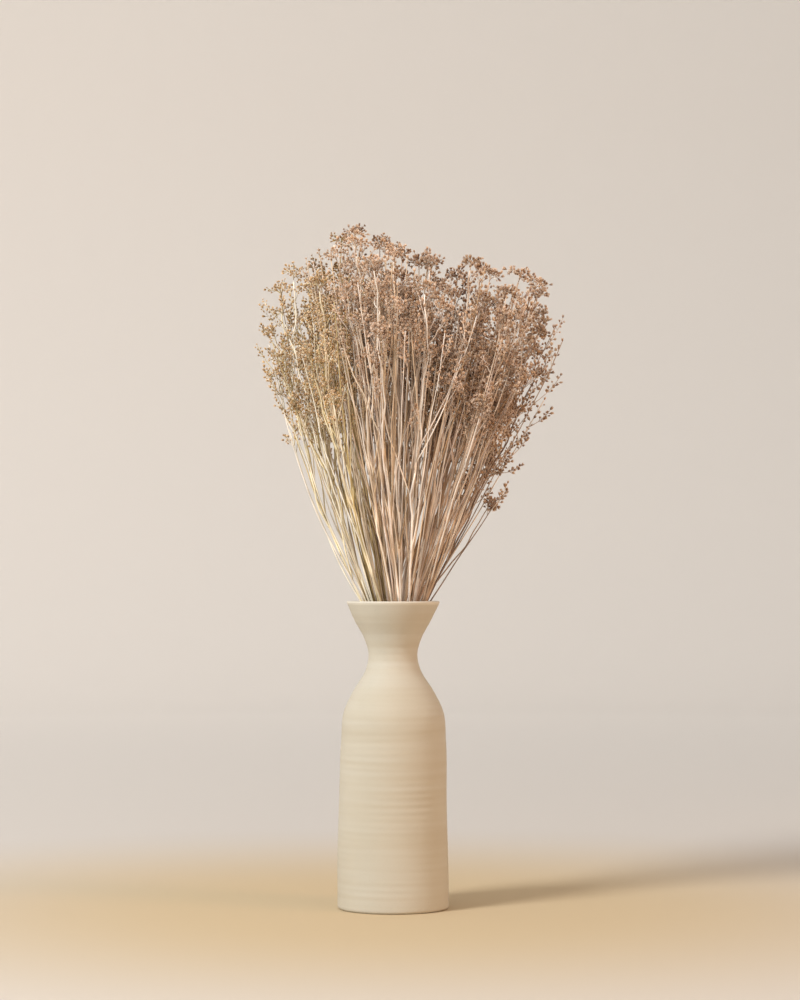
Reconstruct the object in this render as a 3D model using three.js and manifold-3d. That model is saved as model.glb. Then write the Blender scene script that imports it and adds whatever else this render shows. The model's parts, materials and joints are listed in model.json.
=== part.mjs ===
// A bunch of dried broom bloom standing in a stoneware vase.
// Millimetres, +Z up, +X to the viewer's right, +Y away from the viewer.
// The origin is the middle of the vase's flat foot.
import * as THREE from "three";
import { mergeVertices } from "three/addons/utils/BufferGeometryUtils.js";
import Module from "manifold-3d";

const wasm = await Module();
wasm.setup();

// Vase: radius and height of the points that its outer curve passes through, from foot to mouth.
const VASE_OUTLINE = [
  [48.8, 3], [48.6, 40], [47.2, 94], [46.0, 147], [43.4, 173], [35.0, 190.7],
  [24.3, 208.3], [21.5, 223], [25.0, 236], [33.7, 252.3], [40.7, 267.4],
];
const SHOULDER_POINT = 3;
const VASE_HEIGHT = 268.4;
const FOOT_RADIUS = 47.4;
const FLOOR_THICKNESS = 8;
const FLOOR_CORNER = 5;
const BODY_WALL = 4.6;
const LIP_WALL = 2.4;
const THINS_FROM = 215;
const VASE_SIDES = 30;

// Bunch: the stems cross in the vase's neck like the struts of a twisted sheaf and never meet.
const SPRAYS = 41;
const BUNCH_RADIUS = 134;
const BUNCH_BULGE = 14;
const FULL_HEIGHT = 495;
const WAIST_HEIGHT = 205;
const WAIST_SOFTNESS = 10;
const SPREAD_BELOW = 0.0118;
const SPREAD_ABOVE = 0.0385;
const DRAW_IN = { left: 0.4, right: 0.03, depth: 0.2, from: 395, to: 565 };
const LEAN = { x: 4.5, from: 225, to: 345 };
const WANDER = { reach: 4.5, period: 150, rise: 240, from: 250, to: 420 };

// Crown: how high the sprays end, and how far down their heads reach.
const CROWN_TOP = 598;
const CROWN_FALL_X = 0.0045;
const CROWN_FALL_FRONT = 0.0016;
const CROWN_FALL_BACK = 0.0045;
const CROWN_RAGGED = 16;
const TUFTS = [
  { x: -37, lift: 14, width: 11 },
  { x: -57, lift: -22, width: 7 },
  { x: -76, lift: 4, width: 12 },
  { x: 32, lift: -20, width: 9 },
  { x: 116, lift: 38, width: 11 },
  { x: 140, lift: 10, width: 9 },
];
const CROWN_READ_HEIGHT = 540;
const PLUME = { sides: 118, front: 58, frontDepth: [10, 60], frontHalfWidth: [37, 67] };

// Stems: the heights of a stem's joints, and its radius at each.
const FOOT_GAP = 0.3;
const STEM_HEIGHTS = [FLOOR_THICKNESS + FOOT_GAP, 205, 262, 360, 480, 620];
const STEM_RADII = [1.4, 1.35, 1.5, 1.35, 1.05, 0.8];

// Twigs: the side branches of a stem. Each leaves the stem some way below its own cluster,
// the lowest one near the vase's mouth.
const TWIG_RISES = [32, 80, 175];
const TWIG_LOWEST = 285;
const TWIG_BEND = { down: 0.45, out: 0.8 };
const TWIG_LEAN = 0.45;
const TWIG_RINGS = [
  { share: 0, radius: 0.4 },
  { share: 0.5, radius: 0.85 },
  { share: 1, radius: 0.75 },
];

// Clusters: a hub with ten heads that stand out of it in a dome. Tilts are radians from the cluster's axis.
const CLUSTER_RADIUS = 11.6;
const CLUSTER_SHRINK = 0.06;
const CLUSTER_REACH = 14.5;
const CLUSTER_DROP = { first: 0.6, uneven: 0.35 };
const CLUSTER_TRIES = 60;
const TRY_STEP = { down: 0.6, out: 0.15 };
const HUB = { radius: 3.1, under: 0.9, over: 0.8, top: 0.5 };
const HEAD_RADIUS = 2.45;
const INNER_HEADS = { tilt: 0.73, length: 1 };
const MIDDLE_HEADS = { tilt: 1.12, length: 0.97 };
const OUTER_HEADS = { tilt: 1.47, length: 0.84 };

// Room kept round stems, twigs and clusters while the clusters are placed.
const STEM_ROOM = 1.7;
const TWIG_ROOM = 1.6;
const CLUSTER_ROOM = { share: 0.98, forward: 0.3 };

// What the numbers fixed by a spray's index are used for. Side clusters take one use each, in their order.
const USE = { ragged: 1, tipTurn: 2, sideTurn: 3, sideDrop: 6 };

const STEM_STEP = 5;
const MERGE_WITHIN = 1e-3;
const GOLDEN = (Math.sqrt(5) - 1) / 2;
const PLASTIC = 0.7548776662;
const FULL_TURN = 2 * Math.PI;
const UP = new THREE.Vector3(0, 0, 1);

// A number from 0 to 1, fixed by a spray's index and by what it is drawn for.
function draw(spray, use) {
  const value = (spray + 1) * GOLDEN * (2 * use + 1) + use * PLASTIC;
  return value - Math.floor(value);
}

// Rises smoothly from 0 at low to 1 at high.
function ramp(value, low, high) {
  const t = Math.min(1, Math.max(0, (value - low) / (high - low)));
  return t * t * (3 - 2 * t);
}

function radial(angle) {
  return new THREE.Vector3(Math.cos(angle), Math.sin(angle), 0);
}

// Where a spray stands in the bunch: a point of a level disc, filled evenly by the golden angle.
function standing(spray) {
  const angle = FULL_TURN * GOLDEN * spray;
  const edge = BUNCH_RADIUS + BUNCH_BULGE * Math.max(0, Math.cos(angle)) ** 2;
  const radius = edge * Math.sqrt((spray + 0.5) / SPRAYS);
  return [radius * Math.cos(angle), radius * Math.sin(angle)];
}

// How far the sheaf has opened at a height: below 0 under its waist, above 0 over it.
function spread(z) {
  const t = z - WAIST_HEIGHT;
  const above = (t + Math.hypot(t, WAIST_SOFTNESS) - WAIST_SOFTNESS) / 2;
  return SPREAD_BELOW * t + (SPREAD_ABOVE - SPREAD_BELOW) * above;
}

// A stem's curve. Its standing point, as a complex number, is multiplied by (spread + i) / (full spread + i),
// so all stems turn and scale together. A slow wave and a side lean are added above the vase.
function stemCurve(spray, z) {
  const [x, y] = standing(spray);
  const here = spread(z);
  const full = spread(FULL_HEIGHT);
  const size = full * full + 1;
  const scale = (here * full + 1) / size;
  const turn = (full - here) / size;
  const wave = WANDER.reach * ramp(z, WANDER.from, WANDER.to);
  const phase = z / WANDER.rise;
  const wx = x * scale - y * turn + wave * Math.sin(FULL_TURN * (y / WANDER.period + phase));
  const wy = x * turn + y * scale + wave * Math.sin(FULL_TURN * (x / WANDER.period - phase));
  const drawn = ramp(z, DRAW_IN.from, DRAW_IN.to);
  const across = 1 - drawn * (wx < 0 ? DRAW_IN.left : DRAW_IN.right);
  const lean = LEAN.x * ramp(z, LEAN.from, LEAN.to);
  return new THREE.Vector3(wx * across + lean, wy * (1 - drawn * DRAW_IN.depth), z);
}

// The middle of a stem at a height. It runs straight from one joint to the next.
function stemPoint(spray, z) {
  const next = Math.max(1, STEM_HEIGHTS.findIndex((height) => height >= z));
  const [low, high] = [STEM_HEIGHTS[next - 1], STEM_HEIGHTS[next]];
  return stemCurve(spray, low).lerp(stemCurve(spray, high), (z - low) / (high - low));
}

function stemDirection(spray, z) {
  return stemPoint(spray, z + STEM_STEP).sub(stemPoint(spray, z - STEM_STEP)).normalize();
}

// The height at which a spray ends: a dome, with tufts and notches along its width, made ragged.
function tipHeight(spray) {
  const { x, y } = stemPoint(spray, CROWN_READ_HEIGHT);
  const fall = y < 0 ? CROWN_FALL_FRONT : CROWN_FALL_BACK;
  let height = CROWN_TOP - CROWN_FALL_X * x * x - fall * y * y - CROWN_RAGGED * draw(spray, USE.ragged);
  for (const tuft of TUFTS) height += tuft.lift * Math.exp(-(((x - tuft.x) / tuft.width) ** 2) / 2);
  return height;
}

// How far below its tip a spray still bears heads. In the middle of the front the stems stay bare for longer.
function plumeLength(spray) {
  const { x, y } = stemPoint(spray, FULL_HEIGHT);
  const front = ramp(-y, ...PLUME.frontDepth) * (1 - ramp(Math.abs(x), ...PLUME.frontHalfWidth));
  return PLUME.sides + (PLUME.front - PLUME.sides) * front;
}

// A closed triangle skin that is grown ring by ring, three corners to a ring.
class Skin {
  constructor() {
    this.points = [];
    this.faces = [];
  }

  // Adds a ring across an axis and gives its corners' indices, anticlockwise as seen from the axis' end.
  ring(centre, axis, reference, radius) {
    const u = reference.clone().addScaledVector(axis, -reference.dot(axis)).normalize();
    const v = new THREE.Vector3().crossVectors(axis, u);
    return [0, 1, 2].map((k) => {
      const angle = (FULL_TURN * k) / 3;
      const corner = centre.clone().addScaledVector(u, radius * Math.cos(angle));
      return this.points.push(corner.addScaledVector(v, radius * Math.sin(angle))) - 1;
    });
  }

  // Closes the skin under its first ring.
  foot([a, b, c]) {
    this.faces.push([a, c, b]);
  }

  // The wall between two rings whose corners stand side by side.
  bridge(low, high) {
    for (let k = 0; k < 3; k++) {
      const n = (k + 1) % 3;
      this.faces.push([low[k], low[n], high[n]], [low[k], high[n], high[k]]);
    }
  }

  // One head: a face of the hub drawn out along a direction into a small trumpet with a flat end.
  head(face, centre, direction, length) {
    const middle = new THREE.Vector3();
    for (const corner of face) middle.addScaledVector(this.points[corner], 1 / 3);
    const reference = this.points[face[0]].clone().sub(middle);
    const end = centre.clone().addScaledVector(direction, length);
    const mouth = this.ring(end, direction, reference, HEAD_RADIUS);
    this.bridge(face, mouth);
    this.faces.push(mouth);
  }

  // A cluster on the end ring of its stalk: the hub's two rings, one head on top and three rounds of three.
  cluster(stalk, { centre, axis, reference, size }) {
    const [w1, w2, w0] = this.ring(centre, axis, reference.clone().negate(), HUB.radius);
    const wide = [w0, w1, w2];
    const top = centre.clone().addScaledVector(axis, HUB.over * HUB.radius);
    const narrow = this.ring(top, axis, reference, HUB.top * HUB.radius);
    const side = new THREE.Vector3().crossVectors(axis, reference).normalize();
    const front = new THREE.Vector3().crossVectors(side, axis);
    const grow = (face, turn, { tilt, length }) => {
      const direction = axis.clone().multiplyScalar(Math.cos(tilt));
      direction.addScaledVector(front, Math.sin(tilt) * Math.cos(turn));
      direction.addScaledVector(side, Math.sin(tilt) * Math.sin(turn));
      this.head(face, centre, direction, length * size);
    };
    this.head(narrow, centre, axis, size);
    for (let k = 0; k < 3; k++) {
      const n = (k + 1) % 3;
      const between = (FULL_TURN * (k + 0.5)) / 3;
      const beyond = (FULL_TURN * (k + 1)) / 3;
      this.faces.push([stalk[k], stalk[n], wide[k]]);
      grow([wide[k], wide[n], narrow[n]], beyond, INNER_HEADS);
      grow([wide[k], narrow[n], narrow[k]], between, MIDDLE_HEADS);
      grow([stalk[n], wide[n], wide[k]], beyond, OUTER_HEADS);
    }
  }

  solid() {
    const positions = this.points.flatMap((p) => [p.x, p.y, p.z]);
    const geometry = new THREE.BufferGeometry();
    geometry.setAttribute("position", new THREE.Float32BufferAttribute(positions, 3));
    geometry.setIndex(this.faces.flat());
    return solidOf(geometry);
  }
}

function solidOf(geometry) {
  return new wasm.Manifold(
    new wasm.Mesh({
      numProp: 3,
      vertProperties: geometry.attributes.position.array,
      triVerts: new Uint32Array(geometry.index.array),
    }),
  );
}

function meshOf(solid, name, material) {
  const { vertProperties, triVerts } = solid.getMesh();
  const geometry = new THREE.BufferGeometry();
  geometry.setAttribute("position", new THREE.BufferAttribute(vertProperties, 3));
  geometry.setIndex(new THREE.BufferAttribute(triVerts, 1));
  geometry.computeVertexNormals();
  const mesh = new THREE.Mesh(geometry, material);
  mesh.name = name;
  return mesh;
}

// The underside of a cluster's hub, where its stalk ends.
function stalkEnd({ centre, axis }) {
  return centre.clone().addScaledVector(axis, -HUB.under * HUB.radius);
}

// A twig's curve, from the middle of its stem to the underside of its cluster's hub.
function twigCurve(spray, { rise, reach, reference, ...cluster }) {
  const end = stalkEnd(cluster);
  const root = stemPoint(spray, Math.max(end.z - rise, TWIG_LOWEST));
  const bend = stemPoint(spray, end.z - TWIG_BEND.down * (end.z - root.z));
  bend.addScaledVector(reference, TWIG_BEND.out * reach);
  return new THREE.QuadraticBezierCurve3(root, bend, end);
}

// Points close together along a twig, which runs straight from one of its rings to the next.
function alongTwig(curve) {
  const joints = TWIG_RINGS.map(({ share }) => curve.getPoint(share));
  return joints.slice(1).flatMap((joint, k) => {
    const count = Math.ceil(joint.distanceTo(joints[k]) / TWIG_ROOM);
    return Array.from({ length: count }, (_, n) => joints[k].clone().lerp(joint, (n + 1) / count));
  });
}

// The taken room, as balls. A ball's owner is the spray whose own twigs may touch it, or null for nobody's.
const balls = [];

function take(owner, centre, radius) {
  balls.push({ owner, centre, radius });
}

function isFree(centre, radius, owner) {
  const clear = (ball) => ball.owner === owner || centre.distanceTo(ball.centre) >= radius + ball.radius;
  return balls.every(clear);
}

function clusterBall({ centre, axis, size }) {
  return [centre.clone().addScaledVector(axis, CLUSTER_ROOM.forward * size), CLUSTER_ROOM.share * size];
}

// The cluster on the very end of a stem.
function tipCluster(spray) {
  const z = tipHeight(spray) - CLUSTER_RADIUS;
  const reference = radial(FULL_TURN * draw(spray, USE.tipTurn));
  return { centre: stemPoint(spray, z), axis: stemDirection(spray, z), reference, size: CLUSTER_RADIUS };
}

// A side cluster: turned round its stem by the golden angle, a little lower and further out each time,
// until it finds a free place for itself and its twig.
function sideCluster(spray, slot) {
  const size = CLUSTER_RADIUS * (1 - CLUSTER_SHRINK * slot);
  const place = slot + CLUSTER_DROP.first + CLUSTER_DROP.uneven * draw(spray, USE.sideDrop + slot);
  const drop = (plumeLength(spray) * place) / TWIG_RISES.length;
  const start = tipHeight(spray) - CLUSTER_RADIUS - drop;
  for (let trial = 0; trial < CLUSTER_TRIES; trial++) {
    const out = radial(FULL_TURN * (draw(spray, USE.sideTurn + slot) + trial * GOLDEN));
    const height = start - TRY_STEP.down * trial;
    const reach = CLUSTER_REACH + TRY_STEP.out * trial;
    const centre = stemPoint(spray, height).addScaledVector(out, reach);
    const axis = stemDirection(spray, height).addScaledVector(out, TWIG_LEAN).normalize();
    const cluster = { centre, axis, reference: out, size, reach, rise: TWIG_RISES[slot] };
    const twig = alongTwig(twigCurve(spray, cluster));
    const open = isFree(...clusterBall(cluster)) && twig.every((p) => isFree(p, TWIG_ROOM, spray));
    if (!open) continue;
    take(null, ...clusterBall(cluster));
    for (const point of twig) take(spray, point, TWIG_ROOM);
    return cluster;
  }
  return null;
}

// Places every cluster: first the tips, then the side clusters of all sprays, round by round downwards.
function placeClusters() {
  const sprays = Array.from({ length: SPRAYS }, (_, spray) => [tipCluster(spray)]);
  sprays.forEach(([tip], spray) => {
    for (let z = TWIG_LOWEST; z < tip.centre.z; z += 2 * STEM_ROOM) take(spray, stemPoint(spray, z), STEM_ROOM);
  });
  for (const [tip] of sprays) take(null, ...clusterBall(tip));
  TWIG_RISES.forEach((_, slot) => {
    sprays.forEach((clusters, spray) => {
      const cluster = sideCluster(spray, slot);
      if (cluster) clusters.push(cluster);
    });
  });
  return sprays;
}

// The stem from the vase's floor up, with the cluster on its tip.
function stemSolid(spray, tip) {
  const skin = new Skin();
  const joints = STEM_HEIGHTS.filter((z) => z < stalkEnd(tip).z - HUB.radius);
  const rings = joints.map((z, k) => skin.ring(stemPoint(spray, z), UP, tip.reference, STEM_RADII[k]));
  rings.push(skin.ring(stalkEnd(tip), tip.axis, tip.reference, TWIG_RINGS.at(-1).radius));
  skin.foot(rings[0]);
  for (let k = 1; k < rings.length; k++) skin.bridge(rings[k - 1], rings[k]);
  skin.cluster(rings.at(-1), tip);
  return skin.solid();
}

// A twig that grows out of its stem's middle, with its cluster.
function twigSolid(spray, cluster) {
  const skin = new Skin();
  const curve = twigCurve(spray, cluster);
  const rings = TWIG_RINGS.map(({ share, radius }) =>
    skin.ring(curve.getPoint(share), curve.getTangent(share), cluster.reference, radius),
  );
  skin.foot(rings[0]);
  for (let k = 1; k < rings.length; k++) skin.bridge(rings[k - 1], rings[k]);
  skin.cluster(rings.at(-1), cluster);
  return skin.solid();
}

// One spray: the stem and its twigs grown together.
function spraySolid(spray, [tip, ...sides]) {
  return sides.reduce((solid, cluster) => solid.add(twigSolid(spray, cluster)), stemSolid(spray, tip));
}

// The vase: outer curve, lip, and an inside that follows the outer curve at the wall's thickness
// down to the shoulder, and from there runs straight to the floor.
function vaseMesh() {
  const outer = new THREE.SplineCurve(VASE_OUTLINE.map(([r, z]) => new THREE.Vector2(r, z)));
  const last = VASE_OUTLINE.length - 1;
  const inside = [];
  for (let k = last; k >= SHOULDER_POINT; k--) {
    const { x: r, y: z } = outer.getPoint(k / last);
    const tangent = outer.getTangent(k / last);
    const wall = BODY_WALL + (LIP_WALL - BODY_WALL) * ramp(z, THINS_FROM, VASE_HEIGHT);
    inside.push(new THREE.Vector2(r - wall * tangent.y, z + wall * tangent.x));
  }
  const floorRadius = VASE_OUTLINE[0][0] - BODY_WALL;
  const profile = [
    new THREE.Vector2(0, 0),
    new THREE.Vector2(FOOT_RADIUS, 0),
    ...outer.getPoints(last),
    new THREE.Vector2(VASE_OUTLINE[last][0] - LIP_WALL / 2, VASE_HEIGHT),
    ...inside,
    new THREE.Vector2(floorRadius, FLOOR_THICKNESS + FLOOR_CORNER),
    new THREE.Vector2(floorRadius - FLOOR_CORNER, FLOOR_THICKNESS),
    new THREE.Vector2(0, FLOOR_THICKNESS),
  ];
  const lathe = new THREE.LatheGeometry(profile, VASE_SIDES);
  lathe.deleteAttribute("normal");
  lathe.deleteAttribute("uv");
  lathe.rotateX(Math.PI / 2);
  return meshOf(solidOf(mergeVertices(lathe, MERGE_WITHIN)), "vase", stoneware);
}

const stoneware = new THREE.MeshStandardMaterial({ color: "#cdc2a7", roughness: 0.8 });

// Dried plant, by its place across the bunch: straw yellow at the left, rosy in the middle, brown at the right.
const strawPlant = new THREE.MeshStandardMaterial({ color: "#b99a6b", roughness: 0.95 });
const rosyPlant = new THREE.MeshStandardMaterial({ color: "#b99785", roughness: 0.95 });
const brownPlant = new THREE.MeshStandardMaterial({ color: "#9d7a5f", roughness: 0.95 });
const STRAW_ENDS = -32;
const BROWN_STARTS = 38;

function plantMaterial(spray) {
  const { x } = stemPoint(spray, FULL_HEIGHT);
  if (x < STRAW_ENDS) return strawPlant;
  return x < BROWN_STARTS ? rosyPlant : brownPlant;
}

const bunch = new THREE.Group();
bunch.add(vaseMesh());
placeClusters().forEach((clusters, spray) => {
  const name = `spray_${String(spray + 1).padStart(2, "0")}`;
  bunch.add(meshOf(spraySolid(spray, clusters), name, plantMaterial(spray)));
});

export default bunch;
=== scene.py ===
import json
import math

import bpy
import numpy as np
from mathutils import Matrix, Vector


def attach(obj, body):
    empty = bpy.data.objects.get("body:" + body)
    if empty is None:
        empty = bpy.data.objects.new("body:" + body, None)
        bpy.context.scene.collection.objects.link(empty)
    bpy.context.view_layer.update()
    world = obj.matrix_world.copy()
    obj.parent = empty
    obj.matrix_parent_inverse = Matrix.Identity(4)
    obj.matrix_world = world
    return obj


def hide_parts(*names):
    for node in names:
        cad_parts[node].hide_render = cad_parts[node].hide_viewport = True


# A bunch of dried broom bloom in a thrown stoneware vase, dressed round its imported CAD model.
# Metres, +Z up, +X to the viewer's right, +Y away from the viewer.
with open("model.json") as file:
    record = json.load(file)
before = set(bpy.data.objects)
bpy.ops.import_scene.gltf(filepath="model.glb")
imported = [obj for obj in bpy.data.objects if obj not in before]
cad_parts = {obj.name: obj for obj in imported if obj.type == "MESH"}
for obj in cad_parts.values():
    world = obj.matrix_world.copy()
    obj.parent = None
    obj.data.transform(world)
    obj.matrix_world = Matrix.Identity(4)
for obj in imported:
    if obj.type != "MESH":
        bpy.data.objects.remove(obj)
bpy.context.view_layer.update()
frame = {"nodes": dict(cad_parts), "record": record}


# The vase: a tall stoneware bottle with a narrow neck and a flared mouth, thrown on a wheel in one piece.
# A matt cream glaze covers it outside and inside. It stands on a flat foot with a rounded edge,
# and the potter's fingers left shallow level rings in its wall.
VASE_OUTLINE = 0.001 * np.array([
    [48.8, 3], [48.6, 40], [47.2, 94], [46.0, 147], [43.4, 173], [35.0, 190.7],
    [24.3, 208.3], [21.5, 223], [25.0, 236], [33.7, 252.3], [40.7, 267.4],
])
FOOT_FLAT = 0.0462
FOOT_CURVE_ENDS = -8
FLOOR_HEIGHT = 0.008
FLOOR_CORNER = 0.005
BODY_WALL = 0.0046
LIP_WALL = 0.0024
WALL_THINS = (0.215, 0.268)
INSIDE_FROM = 0.173
VASE_SIDES = 96
OUTSIDE_ROWS = 260
INSIDE_ROWS = 60
CORNER_ROWS = 7
UNEVEN_FROM = (0.004, 0.02)
UNEVEN_TO = (0.255, 0.266)
RING_PITCH = 0.0062
RING_DEPTH = 0.00009
RING_WANDER = 0.8
RING_TWIST = 30
FAINT_SHARE = 0.45
FAINT_WAVES = 70
FAINT_PHASE = 1.3
FAINT_TWIST = 25
OUT_OF_TRUE = 0.0004
TRUE_TWIST = 33
TRUE_PHASE = 0.6


def smooth(knots, values, at):
    """A smooth curve through values at rising knots, read at places at.

    Each span is a cubic whose end slopes are three-point slopes: the two neighbouring chords' slopes,
    each weighted by the other chord's length, and the chord's own slope at the two ends.
    """
    values = values.reshape(len(knots), -1)
    width = np.diff(knots)[:, None]
    chord = np.diff(values, axis=0) / width
    middle = (chord[:-1] * width[1:] + chord[1:] * width[:-1]) / (width[:-1] + width[1:])
    slope = np.concatenate([chord[:1], middle, chord[-1:]])
    span = np.clip(np.searchsorted(knots, at, side="right") - 1, 0, len(knots) - 2)
    t = ((at - knots[span]) / (knots[span + 1] - knots[span]))[:, None]
    rise = 3 * t**2 - 2 * t**3
    bend = (t - 2 * t**2 + t**3) * slope[span] - (t**2 - t**3) * slope[span + 1]
    return values[span] + rise * (values[span + 1] - values[span]) + bend * width[span]


def ramp(value, low, high):
    """Rises smoothly from 0 at low to 1 at high: three times the share squared, less twice its cube."""
    t = np.clip((value - low) / (high - low), 0, 1)
    return t * t * (3 - 2 * t)


def arc(centre, radius, start, stop, count):
    """Points of a circle in the profile's plane, from one angle in degrees to another."""
    angle = np.radians(np.linspace(start, stop, count))
    return np.column_stack([centre[0] + radius * np.cos(angle), centre[1] + radius * np.sin(angle)])


def vase_profile():
    """Radius and height along the vase's section, from the axis under the foot, up the outside, over
    the lip and down the inside to the axis. The inside is the outside moved in by the wall's thickness."""
    heights = np.linspace(VASE_OUTLINE[0, 1], VASE_OUTLINE[-1, 1], OUTSIDE_ROWS)
    outside = np.column_stack([smooth(VASE_OUTLINE[:, 1], VASE_OUTLINE[:, 0], heights)[:, 0], heights])
    foot_radius = VASE_OUTLINE[0, 0] - FOOT_FLAT
    foot = arc((FOOT_FLAT, foot_radius), foot_radius, -90, FOOT_CURVE_ENDS, CORNER_ROWS)
    inner_heights = np.linspace(heights[-1], INSIDE_FROM, INSIDE_ROWS)
    radius = smooth(VASE_OUTLINE[:, 1], VASE_OUTLINE[:, 0], inner_heights)[:, 0]
    slope = np.gradient(radius, inner_heights)
    wall = BODY_WALL + (LIP_WALL - BODY_WALL) * ramp(inner_heights, *WALL_THINS)
    length = np.hypot(slope, 1)
    inside = np.column_stack([radius - wall / length, inner_heights + wall * slope / length])
    rim = (outside[-1] + inside[0]) / 2
    lean = math.degrees(math.atan2(*(outside[-1] - rim)[::-1]))
    lip = arc(rim, LIP_WALL / 2, lean, lean + 180, 2 * CORNER_ROWS)[1:-1]
    floor_radius = VASE_OUTLINE[0, 0] - BODY_WALL - FLOOR_CORNER
    corner = arc((floor_radius, FLOOR_HEIGHT + FLOOR_CORNER), FLOOR_CORNER, 0, -90, CORNER_ROWS)
    return np.concatenate([[[0, 0]], foot, outside, lip, inside, corner, [[0, FLOOR_HEIGHT]]])


def revolve(profile, sides):
    """Vertices and triangles of a profile turned round the vertical axis, one vertex for each pole.

    The radius is uneven by two waves: a slow one round the axis, which puts the wall out of true, and one
    along the height at the pitch of the throwing rings, whose depth comes and goes.
    """
    radius, height = profile[1:-1, 0, None], profile[1:-1, 1, None]
    angle = 2 * math.pi * np.arange(sides) / sides
    body = ramp(height, *UNEVEN_FROM) * (1 - ramp(height, *UNEVEN_TO))
    rings = np.sin(2 * math.pi * height / RING_PITCH + RING_WANDER * np.sin(angle + RING_TWIST * height))
    faint = np.sin(FAINT_WAVES * height + FAINT_PHASE) * np.sin(2 * angle - FAINT_TWIST * height)
    depth = RING_DEPTH * (1 - FAINT_SHARE + FAINT_SHARE * faint)
    true = OUT_OF_TRUE * np.sin(angle - TRUE_TWIST * height + TRUE_PHASE)
    uneven = radius + body * (depth * rings + true)
    rows = len(radius)
    points = np.empty((rows, sides, 3))
    points[..., 0] = uneven * np.cos(angle)
    points[..., 1] = uneven * np.sin(angle)
    points[..., 2] = height
    low, high = rows * sides, rows * sides + 1
    poles = [[0, 0, profile[0, 1]], [0, 0, profile[-1, 1]]]
    index = np.arange(rows * sides).reshape(rows, sides)
    a, b = index[:-1], np.roll(index, -1, axis=1)[:-1]
    c, d = np.roll(index, -1, axis=1)[1:], index[1:]
    walls = np.stack([np.stack([a, b, c], -1), np.stack([a, c, d], -1)]).reshape(-1, 3)
    first, last = index[0], index[-1]
    under = np.stack([np.full(sides, low), np.roll(first, -1), first], -1)
    over = np.stack([np.full(sides, high), last, np.roll(last, -1)], -1)
    return np.concatenate([points.reshape(-1, 3), poles]), np.concatenate([walls, under, over])


def add_piece(name, points, faces, material, flat=None, attributes=None):
    """A mesh object at the origin from arrays of vertices and triangles, shaded smooth except where flat
    is true, with one number on each vertex for each named attribute."""
    mesh = bpy.data.meshes.new(name)
    mesh.vertices.add(len(points))
    mesh.vertices.foreach_set("co", np.ascontiguousarray(points, np.float32).ravel())
    mesh.loops.add(faces.size)
    mesh.loops.foreach_set("vertex_index", np.ascontiguousarray(faces, np.int32).ravel())
    mesh.polygons.add(len(faces))
    mesh.polygons.foreach_set("loop_start", np.arange(0, faces.size, 3, dtype=np.int32))
    mesh.polygons.foreach_set("use_smooth", np.ones(len(faces), bool) if flat is None else ~flat)
    for key, values in (attributes or {}).items():
        layer = mesh.attributes.new(key, "FLOAT", "POINT")
        layer.data.foreach_set("value", np.ascontiguousarray(values, np.float32))
    mesh.update(calc_edges=True)
    mesh.materials.append(material)
    piece = bpy.data.objects.new(name, mesh)
    bpy.context.scene.collection.objects.link(piece)
    return piece


def linear(hex_colour):
    """An sRGB hex colour as linear red, green, blue and alpha."""
    parts = [int(hex_colour[k : k + 2], 16) / 255 for k in (1, 3, 5)]
    return [c / 12.92 if c <= 0.04045 else ((c + 0.055) / 1.055) ** 2.4 for c in parts] + [1.0]


def add_node(material, kind, settings=None, links=None, inputs=None):
    """Adds a shader node with its settings, its inputs' values and its links from other nodes' outputs."""
    node = material.node_tree.nodes.new(kind)
    for key, value in (settings or {}).items():
        setattr(node, key, value)
    for key, value in (inputs or {}).items():
        node.inputs[key].default_value = value
    for key, (source, output) in (links or {}).items():
        material.node_tree.links.new(source.outputs[output], node.inputs[key])
    return node


def new_material(name):
    """An empty material with its output node, both returned."""
    material = bpy.data.materials.new(name)
    material.use_nodes = True
    material.node_tree.nodes.clear()
    return material, add_node(material, "ShaderNodeOutputMaterial")


def set_ramp(node, stops):
    """Puts colours at places along a colour ramp node: stops holds pairs of place and hex colour."""
    elements = node.color_ramp.elements
    while len(elements) < len(stops):
        elements.new(1.0)
    for element, (place, colour) in zip(elements, stops):
        element.position = place
        element.color = linear(colour)


# Stoneware under a matt cream glaze, thrown and dipped. A dull skin without a clear reflection, whose cream
# drifts a little along the throwing rings, with fine faint specks and a paler edge at the lip.
GLAZE_CREAM = "#BFBAAC"
GLAZE_DEEP = "#B8B09E"
GLAZE_THIN = "#CDC7B9"
SPECK = "#8E7A5C"
BAND_HEIGHT = 0.009
BAND_DRIFT = 4
DRIFT_SIZE = 0.12
DRIFT_RANGE = (0.75, 1.25)
SPECK_SIZE = 0.0022
SPECK_EDGE = (0.06, 0.13)
SPECK_STRENGTH = 0.35
GRAIN_SIZE = 0.0009
GRAIN_DEPTH = 0.00006
LIP_BAND = (0.2655, 0.2668)


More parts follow.
